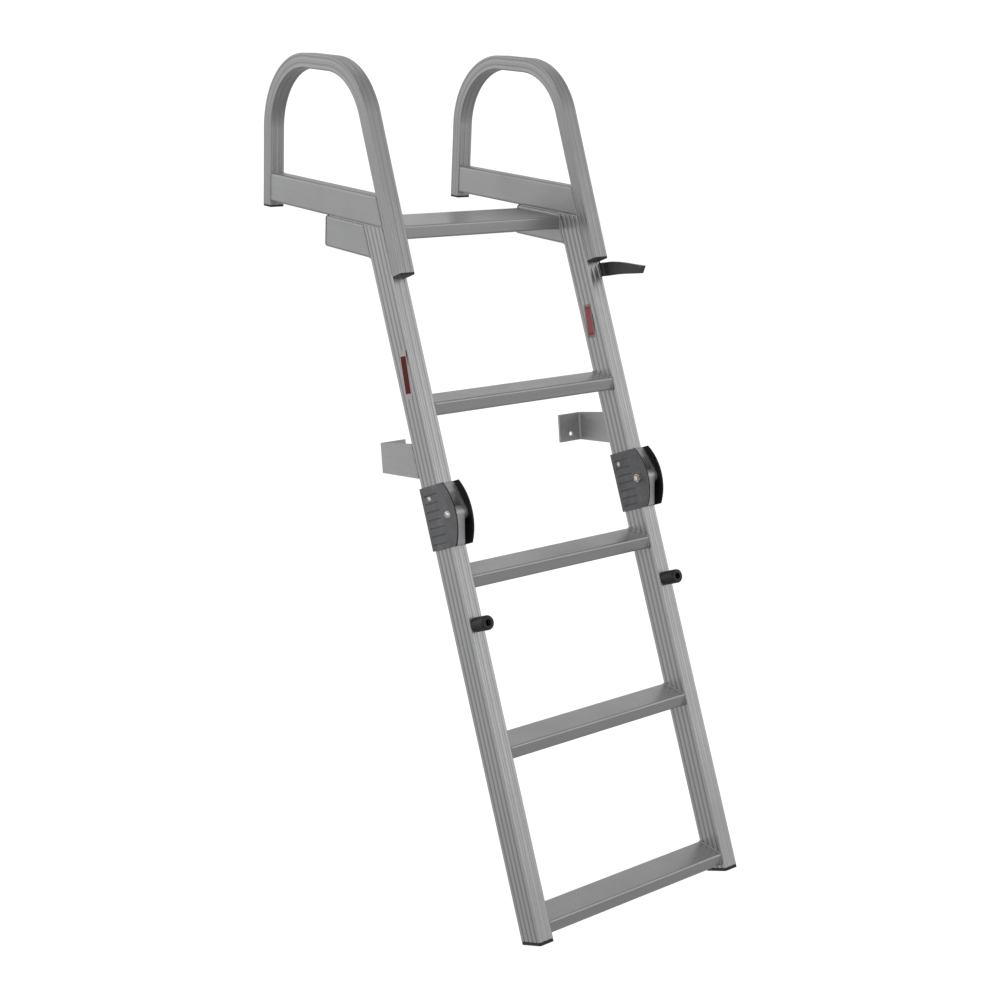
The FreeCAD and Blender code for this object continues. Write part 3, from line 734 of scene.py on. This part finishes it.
step_welds()
for side_name, side in sides.items():
    bracket_welds(side_name, side)
    rail_welds(side_name, side)
    knuckle_welds(side_name, side)
    nut_details(side_name, side, "pivot", bolt_radius=4.0 * millimetre, ring_radius=5.6 * millimetre,
                ring_finish=red_ring_finish)
    nut_details(side_name, side, "plate", bolt_radius=2.5 * millimetre, ring_radius=3.3 * millimetre,
                ring_finish=white_ring_finish)


# ---- camera, floor and light -------------------------------------------------------------------
def make_camera():
    """Camera in front of the ladder and to its left, tilted down and rolled a little."""
    flat = math.cos(camera_pitch)
    forward = Vector((-math.sin(camera_yaw) * flat, math.cos(camera_yaw) * flat, -math.sin(camera_pitch)))
    level = Vector((math.cos(camera_yaw), math.sin(camera_yaw), 0))
    above = level.cross(forward)
    right = level * math.cos(camera_roll) + above * math.sin(camera_roll)
    up = above * math.cos(camera_roll) - level * math.sin(camera_roll)
    data = bpy.data.cameras.new("camera")
    data.lens = camera_lens
    data.sensor_width = camera_film
    data.shift_x, data.shift_y = camera_shift
    data.clip_end = camera_reach
    camera = bpy.data.objects.new("camera", data)
    bpy.context.scene.collection.objects.link(camera)
    turn = Matrix((right, up, -forward)).transposed().to_4x4()
    camera.matrix_world = Matrix.Translation(camera_place) @ turn
    bpy.context.scene.camera = camera


def make_floor():
    """Round sheet of white paper that curves up all round into a backdrop."""
    gap = 0.5 * millimetre
    level = cad_box[0][2] - gap
    flat_radius = 9.0
    curve_radius = 3.0
    wall_height = 9.0
    curve_steps = 12
    around = 96
    profile = [(flat_radius, 0.0)]
    for index in range(1, curve_steps + 1):
        angle = math.pi / 2 * index / curve_steps
        rise = curve_radius * (1 - math.cos(angle))
        profile.append((flat_radius + curve_radius * math.sin(angle), rise))
    profile.append((flat_radius + curve_radius, wall_height))
    data = bmesh.new()
    centre = data.verts.new((0, 0, level))
    rings = []
    for radius, height in profile:
        ring = []
        for index in range(around):
            angle = 2 * math.pi * index / around
            ring.append(data.verts.new((radius * math.cos(angle), radius * math.sin(angle),
                                        level + height)))
        rings.append(ring)
    for corner, after in following_pairs(rings[0], closed=True):
        data.faces.new((centre, corner, after))
    add_tube(data, rings, closed=False)
    floor = smooth_mesh("floor", data, plain_floor("floor paper"))
    floor.visible_glossy = False
    floor.visible_diffuse = False
    floor.visible_shadow = False


def area_light(name, place, size, power):
    """A square lamp of a size in metres and a power in watts, aimed at the ladder's middle."""
    data = bpy.data.lights.new(name, "AREA")
    data.shape = "SQUARE"
    data.size = size
    data.energy = power
    light = bpy.data.objects.new(name, data)
    aim = (Vector(ladder_middle) - Vector(place)).to_track_quat("-Z", "Y")
    light.matrix_world = Matrix.Translation(place) @ aim.to_matrix().to_4x4()
    bpy.context.scene.collection.objects.link(light)


def make_world():
    """Soft studio light that changes with height, with a wide bright panel on one side."""
    world = bpy.data.worlds.new("studio")
    world.use_nodes = True
    tree = world.node_tree
    direction = tree.nodes.new("ShaderNodeTexCoord")
    split = tree.nodes.new("ShaderNodeSeparateXYZ")
    height = tree.nodes.new("ShaderNodeMapRange")
    ramp = tree.nodes.new("ShaderNodeValToRGB")
    towards_panel = tree.nodes.new("ShaderNodeVectorMath")
    panel = tree.nodes.new("ShaderNodeMapRange")
    tree.links.new(direction.outputs["Generated"], split.inputs[0])
    tree.links.new(split.outputs["Z"], height.inputs["Value"])
    height.inputs["From Min"].default_value = -1.0
    tree.links.new(height.outputs[0], ramp.inputs["Fac"])
    elements = ramp.color_ramp.elements
    while len(elements) < len(world_steps):
        elements.new(0.5)
    for element, (place, brightness) in zip(elements, world_steps):
        element.position = place
        element.color = (brightness, brightness, brightness, 1)
    towards_panel.operation = "DOT_PRODUCT"
    towards_panel.inputs[1].default_value = panel_side
    tree.links.new(direction.outputs["Generated"], towards_panel.inputs[0])
    tree.links.new(towards_panel.outputs["Value"], panel.inputs["Value"])
    panel.inputs["From Min"].default_value = panel_start
    panel.inputs["From Max"].default_value = panel_full
    panel.inputs["To Min"].default_value = room_gain
    panel.inputs["To Max"].default_value = panel_gain
    tree.links.new(panel.outputs[0], tree.nodes["Background"].inputs["Strength"])
    tree.links.new(ramp.outputs["Color"], tree.nodes["Background"].inputs["Color"])
    bpy.context.scene.world = world


make_camera()
make_floor()
make_world()
area_light("key", (2.4, -3.2, 1.0), size=2.6, power=9)
area_light("left", (-3.4, -1.2, 0.6), size=1.4, power=8)
area_light("top", (0.6, 1.2, 3.6), size=1.6, power=6)
bpy.context.scene.view_settings.view_transform = "Standard"
